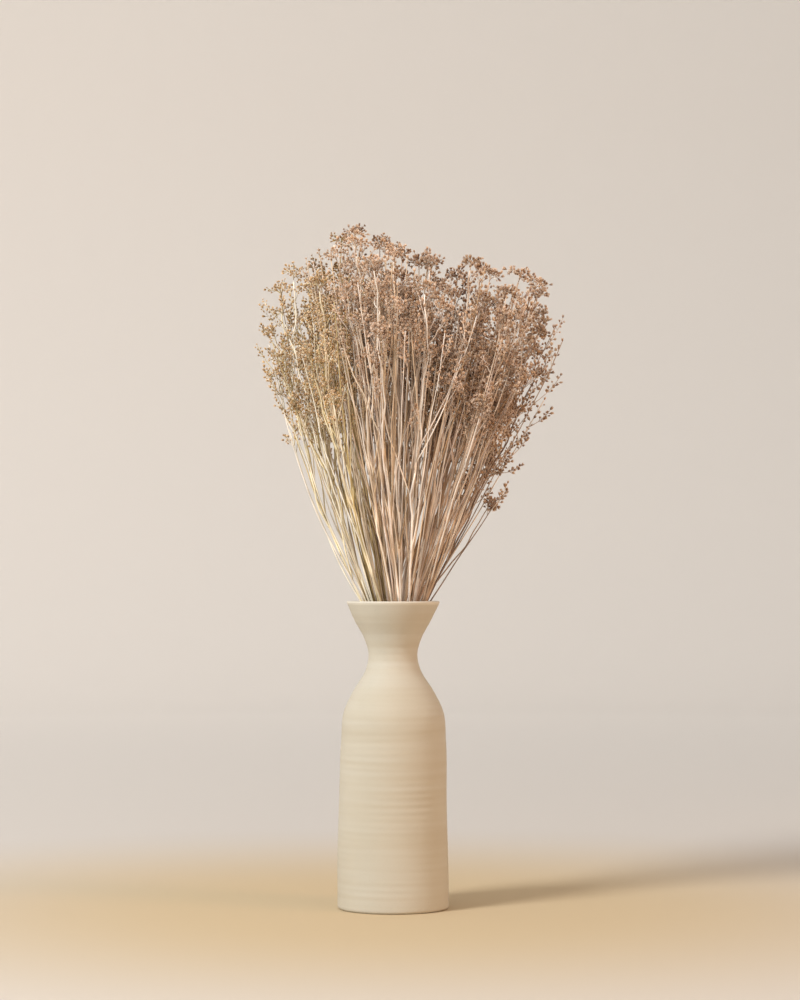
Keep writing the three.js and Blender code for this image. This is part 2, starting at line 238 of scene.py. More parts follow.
def stoneware_material():
    """Cream drawn between two tones by level bands and a slow drift, with specks over it and a paler lip."""
    material, output = new_material("matt cream glaze on thrown stoneware")
    place = add_node(material, "ShaderNodeTexCoord")
    level = add_node(
        material, "ShaderNodeMapping", {"vector_type": "POINT"},
        {"Vector": (place, "Object")}, {"Scale": (BAND_DRIFT, BAND_DRIFT, 1 / BAND_HEIGHT)},
    )
    bands = add_node(
        material, "ShaderNodeTexNoise", {}, {"Vector": (level, "Vector")}, {"Scale": 1, "Detail": 3}
    )
    drift = add_node(
        material, "ShaderNodeTexNoise", {}, {"Vector": (place, "Object")},
        {"Scale": 1 / DRIFT_SIZE, "Detail": 2},
    )
    both = add_node(
        material, "ShaderNodeMath", {"operation": "ADD"}, {0: (bands, "Fac"), 1: (drift, "Fac")}
    )
    tint = add_node(
        material, "ShaderNodeMapRange", {}, {"Value": (both, "Value")},
        {"From Min": DRIFT_RANGE[0], "From Max": DRIFT_RANGE[1]},
    )
    cream = add_node(
        material, "ShaderNodeMix", {"data_type": "RGBA"}, {"Factor": (tint, "Result")},
        {"A": linear(GLAZE_DEEP), "B": linear(GLAZE_CREAM)},
    )
    cells = add_node(
        material, "ShaderNodeTexVoronoi", {}, {"Vector": (place, "Object")}, {"Scale": 1 / SPECK_SIZE}
    )
    speck = add_node(
        material, "ShaderNodeMapRange", {}, {"Value": (cells, "Distance")},
        {"From Min": SPECK_EDGE[0], "From Max": SPECK_EDGE[1], "To Min": SPECK_STRENGTH, "To Max": 0},
    )
    speckled = add_node(
        material, "ShaderNodeMix", {"data_type": "RGBA"},
        {"Factor": (speck, "Result"), "A": (cream, "Result")}, {"B": linear(SPECK)},
    )
    height = add_node(material, "ShaderNodeSeparateXYZ", {}, {"Vector": (place, "Object")})
    lip = add_node(
        material, "ShaderNodeMapRange", {}, {"Value": (height, "Z")},
        {"From Min": LIP_BAND[0], "From Max": LIP_BAND[1]},
    )
    colour = add_node(
        material, "ShaderNodeMix", {"data_type": "RGBA"},
        {"Factor": (lip, "Result"), "A": (speckled, "Result")}, {"B": linear(GLAZE_THIN)},
    )
    grain = add_node(
        material, "ShaderNodeTexNoise", {}, {"Vector": (place, "Object")},
        {"Scale": 1 / GRAIN_SIZE, "Detail": 2},
    )
    bump = add_node(
        material, "ShaderNodeBump", {}, {"Height": (grain, "Fac")},
        {"Strength": 0.5, "Distance": GRAIN_DEPTH},
    )
    surface = add_node(
        material, "ShaderNodeBsdfPrincipled", {},
        {"Base Color": (colour, "Result"), "Normal": (bump, "Normal")},
        {"Roughness": 0.72, "IOR": 1.5, "Specular IOR Level": 0.35},
    )
    material.node_tree.links.new(surface.outputs["BSDF"], output.inputs["Surface"])
    return material


vase = add_piece("stoneware_vase", *revolve(vase_profile(), VASE_SIDES), stoneware_material())
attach(vase, "root")
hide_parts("vase")


# The sprays: dried broom bloom, one cut stem each, which stands on the vase's floor and leans out through
# the neck. It forks in the neck into straws, and higher up into twigs, shoots and sprigs. Its tip and its
# twigs end in loose round clusters of small heads on thread-thin stalks. All of it grew as one piece.
JOINT_HEIGHTS = (0.0083, 0.205, 0.262, 0.36, 0.48)
RING_TOLERANCE = 2e-6
CAD_HEAD_RADIUS = 0.00245
SIDE_TOLERANCE = 3e-5
MEAN_HEAD_LENGTH = 0.0106
SAME_CENTRE = 0.0045
HUB_DEPTH = 0.0028
LAST_JOINT_BELOW = 0.01
PLACE_READ_AT = 0.47

STEM_POINTS = 60
STEM_SIDES = 6
STEM_RADIUS = ((0.0083, 0.0013), (0.262, 0.001), (0.36, 0.00085), (0.48, 0.00065), (0.62, 0.00045))
STEM_SWAY = 0.0016
STEM_WAVES = (75, 190)
STEM_SECOND_WAVE = 0.5
NECK = (0.2, 0.222, 0.24, 0.262)
NECK_PINCH = 0.04
SWAY_STARTS = (0.28, 0.36)
SWAY_ENDS = 0.02

TWIG_RISES = (0.032, 0.080, 0.175)
FORKS_FROM = 0.285
TWIG_BEND_DOWN = 0.45
TWIG_BEND_OUT = 0.8
TWIG_POINTS = 16
TWIG_SIDES = 5
TWIG_SWAY = 0.0045
TWIG_WAVES = (6, 17)
TWIG_SECOND_WAVE = 0.4
SWAY_SHARE = (0.2, 1)
TWIG_RADIUS = (0.0007, 0.00045)

STRAWS = 3
STRAW_ROOT = (0.19, 0.205)
STRAW_DRAWN_IN = 0.0022
STRAW_DROP = (0.01, 0.12)
STRAW_REACH = (0.006, 0.022)
STRAW_RADIUS = (0.00085, 0.0004)
STRAW_HELD = 0.12
STRAW_FREED = (0.25, 0.6)
STRAW_SPREAD = 1.3

SHOOTS = {"sides": 4, "front": 8}
SHOOT_ROOT = (0.285, 0.42)
SHOOT_DROP = {"sides": (-0.007, 0.085), "front": (0.0, 0.06)}
SHOOT_REACH = {"sides": (0.008, 0.027), "front": (0.018, 0.05)}
SHOOT_RADIUS = (0.00062, 0.00038)
SHOOT_BEND_UP = 0.45
SHOOT_BEND_OUT = 0.6
FLATTENED = {"sides": (1, 1, 1), "front": (1, 0.2, 1)}
RIGHT_FROM = (0.06, 0.1)
RIGHT_STRETCH = 0.55
STRETCH_ABOVE = 0.47
LOWEST_SPRIG = 0.385
LOW_CLUSTERS = {"from": 0.34, "to": 0.43, "size": 0.62}

SPRIGS_ON_STEM = {"inner": 4, "outer": 10, "front": 4}
SPRIGS_ON_TWIG = {"inner": 1, "outer": 3, "front": 2}
SPRIGS_ON_SHOOT = {"inner": 2, "outer": 3, "front": 1}
OUTER_FROM = 0.062
FRONT_HALF_WIDTH = 0.05
FRONT_DEPTH = 0.03
LONGEST_PLUME = {"sides": 0.16, "front": 0.075}
SPRIG_LENGTH = (0.012, 0.034)
SPRIG_ANGLE = (0.3, 0.75)
SPRIG_STEP = (0.2, 0.8)
SPRIG_SPAN = 4
SPRIG_FREE_END = 2.5
SPRIG_BEND = (0.6, 0.45)
SPRIG_RISE = 0.8
SPRIG_POINTS = 6
SPRIG_SIDES = 3
SPRIG_RADIUS = (0.0004, 0.00026)
PLUME_BELOW = 0.03
TWIG_PLUME = 0.022
SHOOT_PLUME = 0.07

RAYS = 6
RAY_SPREAD = 1.3
RAY_TILTED = (-0.15, 0.15)
RAY_START = (-0.25, 0.1)
RAY_BEND = 0.5
RAY_LENGTH = (0.45, 1.15)
RAY_HEADS = 7
RAY_HEADS_FROM = 0.55
SPRIG_HEADS = 10
SPRIG_HEADS_FROM = 0.35
STALK_LENGTH = (0.0012, 0.0036)
STALK_ANGLE = (0.45, 1.1)
STALK_STEP = (0.1, 0.9)
STALK_SIDES = 3
STALK_RADIUS = (0.00028, 0.00022)

GREY_RARITY = (2.2, 0.8)
STRAW_TO_GREY = (-0.06, 0.0)
# Tone ranges of branches and a factor on heads' tones, by row. The inner sprays' darker tones are painted
# shade for the bunch's shadowed inside.
BRANCH_TONES_AND_INNER_PAINTED_SHADE = {"inner": (0.0, 0.35), "outer": (0.05, 1.0), "front": (0.1, 1.0)}
INNER_HEAD_PAINTED_SHADE = {"inner": 0.62, "outer": 1, "front": 1}
HEAD_TIPS = 4
HEAD_FOOT = -0.95
HEAD_BELLY = (0.8, -0.15)
HEAD_RIM = (0.64, 0.38)
HEAD_TIP = (0.44, 0.4)
HEAD_THROAT = 0.02
# A head's tones by place; the throat's tone of 0, the darkest, is painted shade in the sunk middle.
HEAD_TONES = {"foot": 0.3, "belly": 0.5, "rim": 0.6, "tip": 0.4, "throat": 0.0}
HEAD_OPENS = (0.1, 0.5)
HEAD_OPENNESS = (0.45, 1.1)
HEAD_DRAWN_OUT = 0.5
HEAD_SEAT = 0.8
HEAD_TURNED = 0.2
HEAD_RAISED = 0.25
HEAD_SHADE = (-0.2, 0.15)
HEAD_GREY = (0.0, 0.4)
HEAD_LENGTH = (0.8, 1.7)
FINE_HEADS = (0.0008, 0.0013)
FULL_HEADS = (0.0010, 0.0017)
FINE_TO_FULL = (-0.075, 0.045)

GOLDEN_ANGLE = math.pi * (3 - math.sqrt(5))


def unit(vectors):
    """The vectors at length one."""
    return vectors / np.linalg.norm(vectors, axis=-1, keepdims=True)


def across(axis, hint):
    """Two unit vectors square to an axis and to each other, the first as near to the hint as it goes."""
    first = unit(hint - axis * np.sum(hint * axis, -1, keepdims=True))
    return first, np.cross(axis, first)


def beside(axis):
    """A vector to one side of an axis: its parts moved on by one place, with a hundredth added."""
    return np.roll(axis, 1, axis=-1) + 0.01


def read_spray(node):
    """A CAD spray's stem joints, and its clusters' centres, axes and sizes, the highest cluster first.

    A joint is the middle of the ring of corners at its height. A head ends in a flat equilateral triangle
    of a known side, square to the head. The heads' axes of one cluster meet in its centre: the point whose
    squared distances to them are least in sum. The cluster's axis is its head nearest to their mean.
    """
    mesh = frame["nodes"][node].data
    points = np.empty(3 * len(mesh.vertices), np.float32)
    mesh.vertices.foreach_get("co", points)
    points = points.reshape(-1, 3).astype(float)
    joints = []
    for height in JOINT_HEIGHTS:
        ring = points[np.abs(points[:, 2] - height) < RING_TOLERANCE]
        if len(ring):
            joints.append(np.unique(ring.round(6), axis=0).mean(0))
    mesh.calc_loop_triangles()
    corners = np.empty(3 * len(mesh.loop_triangles), np.int32)
    mesh.loop_triangles.foreach_get("vertices", corners)
    triangles = points[corners.reshape(-1, 3)]
    sides = np.linalg.norm(triangles - np.roll(triangles, 1, axis=1), axis=2)
    mouths = np.all(np.abs(sides - CAD_HEAD_RADIUS * math.sqrt(3)) < SIDE_TOLERANCE, axis=1)
    mouths = triangles[mouths]
    ends = mouths.mean(1)
    facing = unit(np.cross(mouths[:, 1] - mouths[:, 0], mouths[:, 2] - mouths[:, 0]))
    roots = ends - facing * MEAN_HEAD_LENGTH
    near = np.linalg.norm(roots[:, None] - roots[None], axis=2) < SAME_CENTRE
    clusters = []
    for first in np.unique(near.argmax(1)):
        end, face = ends[near[first]], facing[near[first]]
        square = np.eye(3) - face[:, :, None] * face[:, None, :]
        centre = np.linalg.solve(square.sum(0), np.einsum("kij,kj->i", square, end))
        top = np.argmax(face @ face.mean(0))
        clusters.append((centre, face[top], np.linalg.norm(end[top] - centre)))
    clusters.sort(key=lambda cluster: -cluster[0][2])
    return np.array(joints), *(np.array(column) for column in zip(*clusters))


def bezier(start, bend, end, count):
    """Points of quadratic curves from start by way of bend to end, all curves at once."""
    t = np.linspace(0, 1, count)[:, None]
    start, bend, end = start[..., None, :], bend[..., None, :], end[..., None, :]
    return start * (1 - t) ** 2 + 2 * bend * t * (1 - t) + end * t**2


def tubes(paths, radii, sides):
    """Vertices and triangles of round bars along paths, all of one point count, with both ends closed.

    paths is bars by points by xyz, and radii is bars by points. A ring's plane is square to the path's
    direction, and its first corner points as near as it can to one fixed vector for each bar.
    """
    bars, count = paths.shape[:2]
    along = unit(np.gradient(paths, axis=1))
    whole = unit(paths[:, -1] - paths[:, 0])
    least = np.eye(3)[np.abs(whole).argmin(1)]
    u, v = across(along, np.repeat(least[:, None], count, axis=1))
    angle = 2 * math.pi * np.arange(sides) / sides
    turn = u[:, :, None] * np.cos(angle)[:, None] + v[:, :, None] * np.sin(angle)[:, None]
    points = paths[:, :, None] + turn * radii[:, :, None, None]
    index = np.arange(bars * count * sides).reshape(bars, count, sides)
    a, b = index[:, :-1], np.roll(index, -1, axis=2)[:, :-1]
    c, d = np.roll(index, -1, axis=2)[:, 1:], index[:, 1:]
    walls = np.concatenate([np.stack([a, b, c], -1).reshape(-1, 3), np.stack([a, c, d], -1).reshape(-1, 3)])
    fan = np.arange(1, sides - 1)
    caps = []
    for ring, order in ((index[:, 0], (0, 2, 1)), (index[:, -1], (0, 1, 2))):
        corners = np.stack([np.repeat(ring[:, :1], sides - 2, axis=1), ring[:, fan], ring[:, fan + 1]], -1)
        caps.append(corners[..., order].reshape(-1, 3))
    return points.reshape(-1, 3), np.concatenate([walls, *caps])


def head_template():
    """A unit head facing along +Z: a small urn of four bracts with a sunk middle.

    A pole on the stalk, a four-cornered belly, a rim of eight corners that stand out at the bracts' tips
    and draw in between them, and a pole down in the throat, with a tone from 0, dark, to 1, light. The
    throat's tone of 0 is painted shade in the sunk middle. The tips' values are what they add to the rim's.
    """
    turn = 2 * math.pi * np.arange(2 * HEAD_TIPS) / (2 * HEAD_TIPS)
    tip = (np.arange(2 * HEAD_TIPS) % 2 == 0).astype(float)
    round_axis = np.column_stack([np.cos(turn), np.sin(turn)])
    belly = np.column_stack([HEAD_BELLY[0] * round_axis[::2], np.full(HEAD_TIPS, HEAD_BELLY[1])])
    out = HEAD_RIM[0] + HEAD_TIP[0] * tip
    rim = np.column_stack([out[:, None] * round_axis, HEAD_RIM[1] + HEAD_TIP[1] * tip])
    points = np.concatenate([[[0, 0, HEAD_FOOT]], belly, rim, [[0, 0, HEAD_THROAT]]])
    tones = np.concatenate([
        [HEAD_TONES["foot"]], np.full(HEAD_TIPS, HEAD_TONES["belly"]),
        HEAD_TONES["rim"] + HEAD_TONES["tip"] * tip, [HEAD_TONES["throat"]],
    ])
    low = 1 + np.arange(HEAD_TIPS)
    top = 1 + HEAD_TIPS + np.arange(2 * HEAD_TIPS)
    next_low, next_top = np.roll(low, -1), np.roll(top, -1)
    tips, notches = top[::2], top[1::2]
    foot, throat = np.zeros(HEAD_TIPS, int), np.full(2 * HEAD_TIPS, len(points) - 1)
    faces = [
        np.stack([foot, next_low, low], -1),
        np.stack([low, notches, tips], -1),
        np.stack([low, next_low, notches], -1),
        np.stack([next_low, np.roll(tips, -1), notches], -1),
        np.stack([throat, top, next_top], -1),
    ]
    return points, np.concatenate(faces), tones


def heads(places, facing, sizes, openness, length, turn):
    """Vertices, triangles and tones of heads: the template turned to face along each direction, turned
    round it, scaled, drawn out to its length, and narrowed or widened at the rim by its openness."""
    points, faces, tones = head_template()
    u, v = across(facing, beside(facing))
    u, v = (np.cos(turn) * u.T + np.sin(turn) * v.T).T, (np.cos(turn) * v.T - np.sin(turn) * u.T).T
    rim = ramp(points[:, 2], *HEAD_OPENS)
    wide = 1 + rim * (openness[:, None] - 1)
    high = 1 + rim * HEAD_DRAWN_OUT * (1 - openness[:, None])
    x, y = points[:, 0] * wide, points[:, 1] * wide
    z = points[:, 2] * high * length[:, None]
    made = u[:, None] * x[..., None] + v[:, None] * y[..., None] + facing[:, None] * z[..., None]
    made = places[:, None] + made * sizes[:, None, None]
    shift = len(points) * np.arange(len(places))[:, None, None]
    return made.reshape(-1, 3), (faces[None] + shift).reshape(-1, 3), np.tile(tones, len(places))


def cluster_rays(random, base, axis, reach):
    """Rays of round clusters, all at once, as curves.

    The rays' directions fill a cap round the cluster's axis evenly, by the golden angle, out to the spread.
    Each ray starts on the axis at its own height, sets off along the axis and bends out to its end.
    """
    many = len(base)
    share = (np.arange(RAYS) + 0.5) / RAYS
    tilt = np.arccos(1 - (1 - math.cos(RAY_SPREAD)) * share) + random.uniform(*RAY_TILTED, (many, RAYS))
    turn = GOLDEN_ANGLE * np.arange(RAYS) + random.uniform(0, 2 * math.pi, (many, 1))
    u, v = across(axis, beside(axis))
    out = u[:, None] * np.cos(turn)[..., None] + v[:, None] * np.sin(turn)[..., None]
    way = axis[:, None] * np.cos(tilt)[..., None] + out * np.sin(tilt)[..., None]
    above = reach[:, None] * random.uniform(*RAY_START, (many, RAYS))
    start = base[:, None] + axis[:, None] * above[..., None]
    length = reach[:, None] * random.uniform(*RAY_LENGTH, (many, RAYS))
    end = base[:, None] + way * length[..., None]
    gap = np.linalg.norm(end - start, axis=2, keepdims=True)
    bend = start + axis[:, None] * RAY_BEND * gap
    return bezier(start, bend, end, SPRIG_POINTS).reshape(-1, SPRIG_POINTS, 3)


def racemes(random, paths, count, share):
    """Stalks along the outer part of branches, all at once, as straight two-point paths.

    Stalks leave one in each even step from a share of the branch's length to its end, turned round it by
    the golden angle, at an angle to its direction. The last one carries straight on.
    """
    many, last = len(paths), paths.shape[1] - 1
    step = np.arange(count) + random.uniform(*STALK_STEP, (many, count))
    place = last * (share + (1 - share) * step / count)
    at = np.minimum(place.astype(int), last - 1)
    row = np.arange(many)[:, None]
    along = unit(paths[row, at + 1] - paths[row, at])
    start = paths[row, at] + (place - at)[..., None] * (paths[row, at + 1] - paths[row, at])
    turn = GOLDEN_ANGLE * np.arange(count) + random.uniform(0, 2 * math.pi, (many, 1))
    u, v = across(along, beside(along))
    out = u * np.cos(turn)[..., None] + v * np.sin(turn)[..., None]
    angle = random.uniform(*STALK_ANGLE, (many, count)) * (np.arange(count) < count - 1)
    way = along * np.cos(angle)[..., None] + out * np.sin(angle)[..., None]
    end = start + way * random.uniform(*STALK_LENGTH, (many, count))[..., None]
    return np.stack([start, end], axis=2).reshape(-1, 2, 3)


def sprigs(random, path, count, lowest):
    """Short side branches of one path, as curves, one in each even step of its part above a height, turned
    round it by the golden angle. Each leaves at an angle and bends upwards."""
    first = np.searchsorted(path[:, 2], max(lowest, path[0, 2]))
    first = min(first, len(path) - SPRIG_SPAN)
    step = np.arange(count) + random.uniform(*SPRIG_STEP, count)
    place = first + (len(path) - SPRIG_FREE_END - first) * step / count
    at = place.astype(int)
    root = path[at] + (place - at)[:, None] * (path[at + 1] - path[at])
    along = unit(path[at + 1] - path[at])
    turn = GOLDEN_ANGLE * np.arange(count) + random.uniform(0, 2 * math.pi)
    u, v = across(along, beside(along))
    out = u * np.cos(turn)[:, None] + v * np.sin(turn)[:, None]
    angle = random.uniform(*SPRIG_ANGLE, count)[:, None]
    way = along * np.cos(angle) + out * np.sin(angle)
    length = random.uniform(*SPRIG_LENGTH, count)[:, None]
    bend = root + SPRIG_BEND[0] * length * way
    end = bend + SPRIG_BEND[1] * length * unit(way + [0, 0, SPRIG_RISE])
    return bezier(root, bend, end, SPRIG_POINTS)


def tapered(radius, paths):
    """Radii that fall evenly from the first value at each path's start to the second at its end."""
    return np.tile(np.linspace(*radius, paths.shape[1]), (len(paths), 1))


def two_waves(at, pitch, second, phase):
    """The sum of two sine waves, each with its own pitch and phase, the second less deep."""
    return np.sin(pitch[0] * at + phase[0]) + second * np.sin(pitch[1] * at + phase[1])


def swaying(random, paths):
    """Paths moved sideways by two sine waves of their own phase and depth, still at both ends."""
    share = np.linspace(0, 1, paths.shape[1])
    phase = random.uniform(0, 2 * math.pi, (2, len(paths), 1, 2))
    depth = random.uniform(*SWAY_SHARE, (len(paths), 1, 1)) * TWIG_SWAY * (share * (1 - share) * 2)[:, None]
    moved = paths.copy()
    moved[..., :2] += depth * two_waves(share[:, None], TWIG_WAVES, TWIG_SECOND_WAVE, phase)
    return moved


def spray_parts(node, random):
    """The parts of a spray as (vertices, triangles, bloom, tone, grey): bars of the stem, twigs, straws,
    shoots, sprigs, rays and stalks with bloom 0, and heads with bloom 1."""
    joints, centres, axes, sizes = read_spray(node)
    stalk_end = centres[0] - axes[0] * HUB_DEPTH
    knots = np.vstack([joints[joints[:, 2] < stalk_end[2] - LAST_JOINT_BELOW], stalk_end])

    def stem_at(heights):
        """Points of the stem's smooth curve through its joints, at some heights, drawn in a little where the
        vase's neck is narrowest, so that a smooth stem clears the wall as the straight CAD stem does."""
        flat = smooth(knots[:, 2], knots[:, :2], heights)
        neck = ramp(heights, NECK[0], NECK[1]) * (1 - ramp(heights, NECK[2], NECK[3]))
        flat = flat * (1 - NECK_PINCH * neck)[:, None]
        return np.column_stack([flat, heights])

    heights = np.linspace(knots[0, 2], knots[-1, 2], STEM_POINTS)
    stem = stem_at(heights)
    phase = random.uniform(0, 2 * math.pi, (2, 2))
    sway = two_waves(heights[:, None], STEM_WAVES, STEM_SECOND_WAVE, phase)
    fade = ramp(heights, *SWAY_STARTS) * (1 - ramp(heights, heights[-1] - SWAY_ENDS, heights[-1]))
    stem[:, :2] += STEM_SWAY * fade[:, None] * sway

    side, side_axes = centres[1:], axes[1:]
    ends = side - side_axes * HUB_DEPTH
    rises = np.resize(TWIG_RISES, len(side))
    roots = stem_at(np.maximum(ends[:, 2] - rises, FORKS_FROM))
    bends = stem_at(ends[:, 2] - TWIG_BEND_DOWN * (ends[:, 2] - roots[:, 2]))
    bends += TWIG_BEND_OUT * (side - stem_at(side[:, 2]))
    twigs = swaying(random, bezier(roots, bends, ends, TWIG_POINTS))

    top = knots[-1, 2]
    low = centres[:, 2].min()
    middle = stem_at(np.array([PLACE_READ_AT]))[0]
    front = middle[1] < -FRONT_DEPTH and abs(middle[0]) < FRONT_HALF_WIDTH
    where = "front" if front else "sides"
    row = "front" if front else "outer" if np.linalg.norm(middle[:2]) > OUTER_FROM else "inner"

    def turned(count):
        """Level unit vectors, turned on from one to the next by twice the golden angle."""
        turn = GOLDEN_ANGLE * np.arange(count) * 2 + random.uniform(0, 2 * math.pi)
        return np.column_stack([np.cos(turn), np.sin(turn), np.zeros(count)])

    count = SHOOTS[where]
    away = random.uniform(*SHOOT_REACH[where], count)[:, None] * turned(count) * FLATTENED[where]
    shoot_tops = top - random.uniform(*SHOOT_DROP[where], count)
    rightward = (away[:, 0] > 0) & (shoot_tops > STRETCH_ABOVE)
    away[:, 0] *= 1 + RIGHT_STRETCH * ramp(middle[0], *RIGHT_FROM) * rightward
    shoot_roots = stem_at(random.uniform(*SHOOT_ROOT, count))
    shoot_bends = stem_at(SHOOT_BEND_UP * shoot_tops + (1 - SHOOT_BEND_UP) * shoot_roots[:, 2])
    shoot_bends += SHOOT_BEND_OUT * away
    shoots = swaying(random, bezier(shoot_roots, shoot_bends, stem_at(shoot_tops) + away, TWIG_POINTS))

    away = random.uniform(*STRAW_REACH, STRAWS)[:, None] * turned(STRAWS)
    share = np.linspace(0, 1, STEM_POINTS // 2)[:, None]
    straws = []
    starts = random.uniform(*STRAW_ROOT, STRAWS)
    drops = random.uniform(*STRAW_DROP, STRAWS)
    for way, start, drop in zip(away, starts, drops):
        spine = stem_at(start + share[:, 0] * (top - drop - start))
        inward = -spine * [1, 1, 0]
        inward /= np.maximum(np.linalg.norm(inward, axis=1, keepdims=True), STRAW_DRAWN_IN)
        held = ramp(share, 0, STRAW_HELD) * (1 - ramp(share, *STRAW_FREED))
        drawn_in = STRAW_DRAWN_IN * inward * held
        straws.append(spine + drawn_in + way * ramp(share, STRAW_HELD, STRAW_SPREAD) * STRAW_SPREAD)
    straws = swaying(random, np.array(straws))

    plume = max(low - PLUME_BELOW, top - LONGEST_PLUME[where], LOWEST_SPRIG)
    side_sprigs = [sprigs(random, stem, SPRIGS_ON_STEM[row], plume)]
    for twig in twigs[twigs[:, -1, 2] > LOWEST_SPRIG]:
        side_sprigs.append(sprigs(random, twig, SPRIGS_ON_TWIG[row], twig[-1, 2] - TWIG_PLUME))
    for shoot in [*shoots, *straws]:
        lowest = max(plume, shoot[-1, 2] - SHOOT_PLUME)
        side_sprigs.append(sprigs(random, shoot, SPRIGS_ON_SHOOT[row], lowest))
    side_sprigs = np.concatenate(side_sprigs)

    raised = ramp(centres[:, 2], LOW_CLUSTERS["from"], LOW_CLUSTERS["to"])
    sizes = sizes * (LOW_CLUSTERS["size"] + (1 - LOW_CLUSTERS["size"]) * raised)
    rays = cluster_rays(random, centres, axes, sizes)
    spikes = np.concatenate([side_sprigs, shoots[:, -SPRIG_POINTS:]])
    stalks = np.concatenate([
        racemes(random, spikes, SPRIG_HEADS, SPRIG_HEADS_FROM),
        racemes(random, rays, RAY_HEADS, RAY_HEADS_FROM),
    ])
    facing = stalks[:, 1] - stalks[:, 0]
    facing = unit(unit(facing) + random.normal(0, HEAD_TURNED, facing.shape) + [0, 0, HEAD_RAISED])

    # Inner sprays' branches take darker tones: painted shade for the bunch's shadowed inside.
    tones = BRANCH_TONES_AND_INNER_PAINTED_SHADE[row]
    rarity = GREY_RARITY[0] + (GREY_RARITY[1] - GREY_RARITY[0]) * ramp(middle[0], *STRAW_TO_GREY)
    stem_radii = np.interp(heights, *np.array(STEM_RADIUS).T)[None]
    parts = []
    for paths, radii, sides in (
        (stem[None], stem_radii, STEM_SIDES),
        (twigs, tapered(TWIG_RADIUS, twigs), TWIG_SIDES),
        (straws, tapered(STRAW_RADIUS, straws), TWIG_SIDES),
        (shoots, tapered(SHOOT_RADIUS, shoots), TWIG_SIDES),
        (side_sprigs, tapered(SPRIG_RADIUS, side_sprigs), SPRIG_SIDES),
        (rays, tapered(SPRIG_RADIUS, rays), SPRIG_SIDES),
        (stalks, tapered(STALK_RADIUS, stalks), STALK_SIDES),
    ):
        points, faces = tubes(paths, radii, sides)
        each = len(points) // len(paths)
        tone = np.repeat(random.uniform(*tones, len(paths)), each)
        grey = np.repeat(random.uniform(0, 1, len(paths)) ** rarity, each)
        parts.append((points, faces, 0.0, tone, grey))

    count = len(facing)
    fullness = float(ramp(middle[0], *FINE_TO_FULL))
    fine, full = random.uniform(*FINE_HEADS, count), random.uniform(*FULL_HEADS, count)
    size = fine + (full - fine) * fullness
    openness = random.uniform(*HEAD_OPENNESS, count)
    length = random.uniform(*HEAD_LENGTH, count)
    places = stalks[:, -1] + facing * HEAD_SEAT * (size * length)[:, None]
    turn = random.uniform(0, 2 * math.pi, count)
    points, faces, shades = heads(places, facing, size, openness, length, turn)
    each = len(points) // count
    shades = shades + np.repeat(random.uniform(*HEAD_SHADE, count), each)
    grey = np.repeat(random.uniform(*HEAD_GREY, count), each)
    # Inner sprays' heads are darkened by their factor: painted shade for the bunch's shadowed inside.
    parts.append((points, faces, 1.0, np.clip(shades * INNER_HEAD_PAINTED_SHADE[row], 0, 1), grey))
    return parts


# Dried plant of three lots, air-dried and undyed: straw yellow, rosy and brown. Dull all over. The stems
# are pale and a little patchy, some gone lilac-grey, and a head is brown with light tips and a dark middle,
# which is painted shade down in its sunk throat.
PLANT_LOTS = {
    "straw_plant": {
        "stem": ((0.0, "#9A8452"), (0.4, "#D4BE8A"), (0.75, "#EDDEB6"), (1.0, "#FBF4E2")),
        "head": ((0.0, "#2E1B08"), (0.28, "#83602F"), (0.6, "#D0A76C"), (1.0, "#FCEBD0")),
    },
    "rosy_plant": {
        "stem": ((0.0, "#A08466"), (0.4, "#DAC09C"), (0.75, "#EEDBC1"), (1.0, "#FBF2E6")),
        "head": ((0.0, "#2E1A0D"), (0.28, "#835F42"), (0.6, "#CDA985"), (1.0, "#FAE9D8")),
    },
    "brown_plant": {
        "stem": ((0.0, "#8A6C52"), (0.4, "#CAAB87"), (0.75, "#E3C9A8"), (1.0, "#F6E8D4")),
        "head": ((0.0, "#241308"), (0.28, "#6E4C33"), (0.6, "#B9946F"), (1.0, "#F3DEC8")),
    },
}
LILAC_GREY = ((0.0, "#86746F"), (0.4, "#CFC1BC"), (0.75, "#E8DFDC"), (1.0, "#FBF7F5"))
GREY_SHARE = 0.68
PATCH_SIZE = 0.022
PATCH_NOISE = (0.3, 0.7)
PATCH_SHADE = (0.72, 1.2)


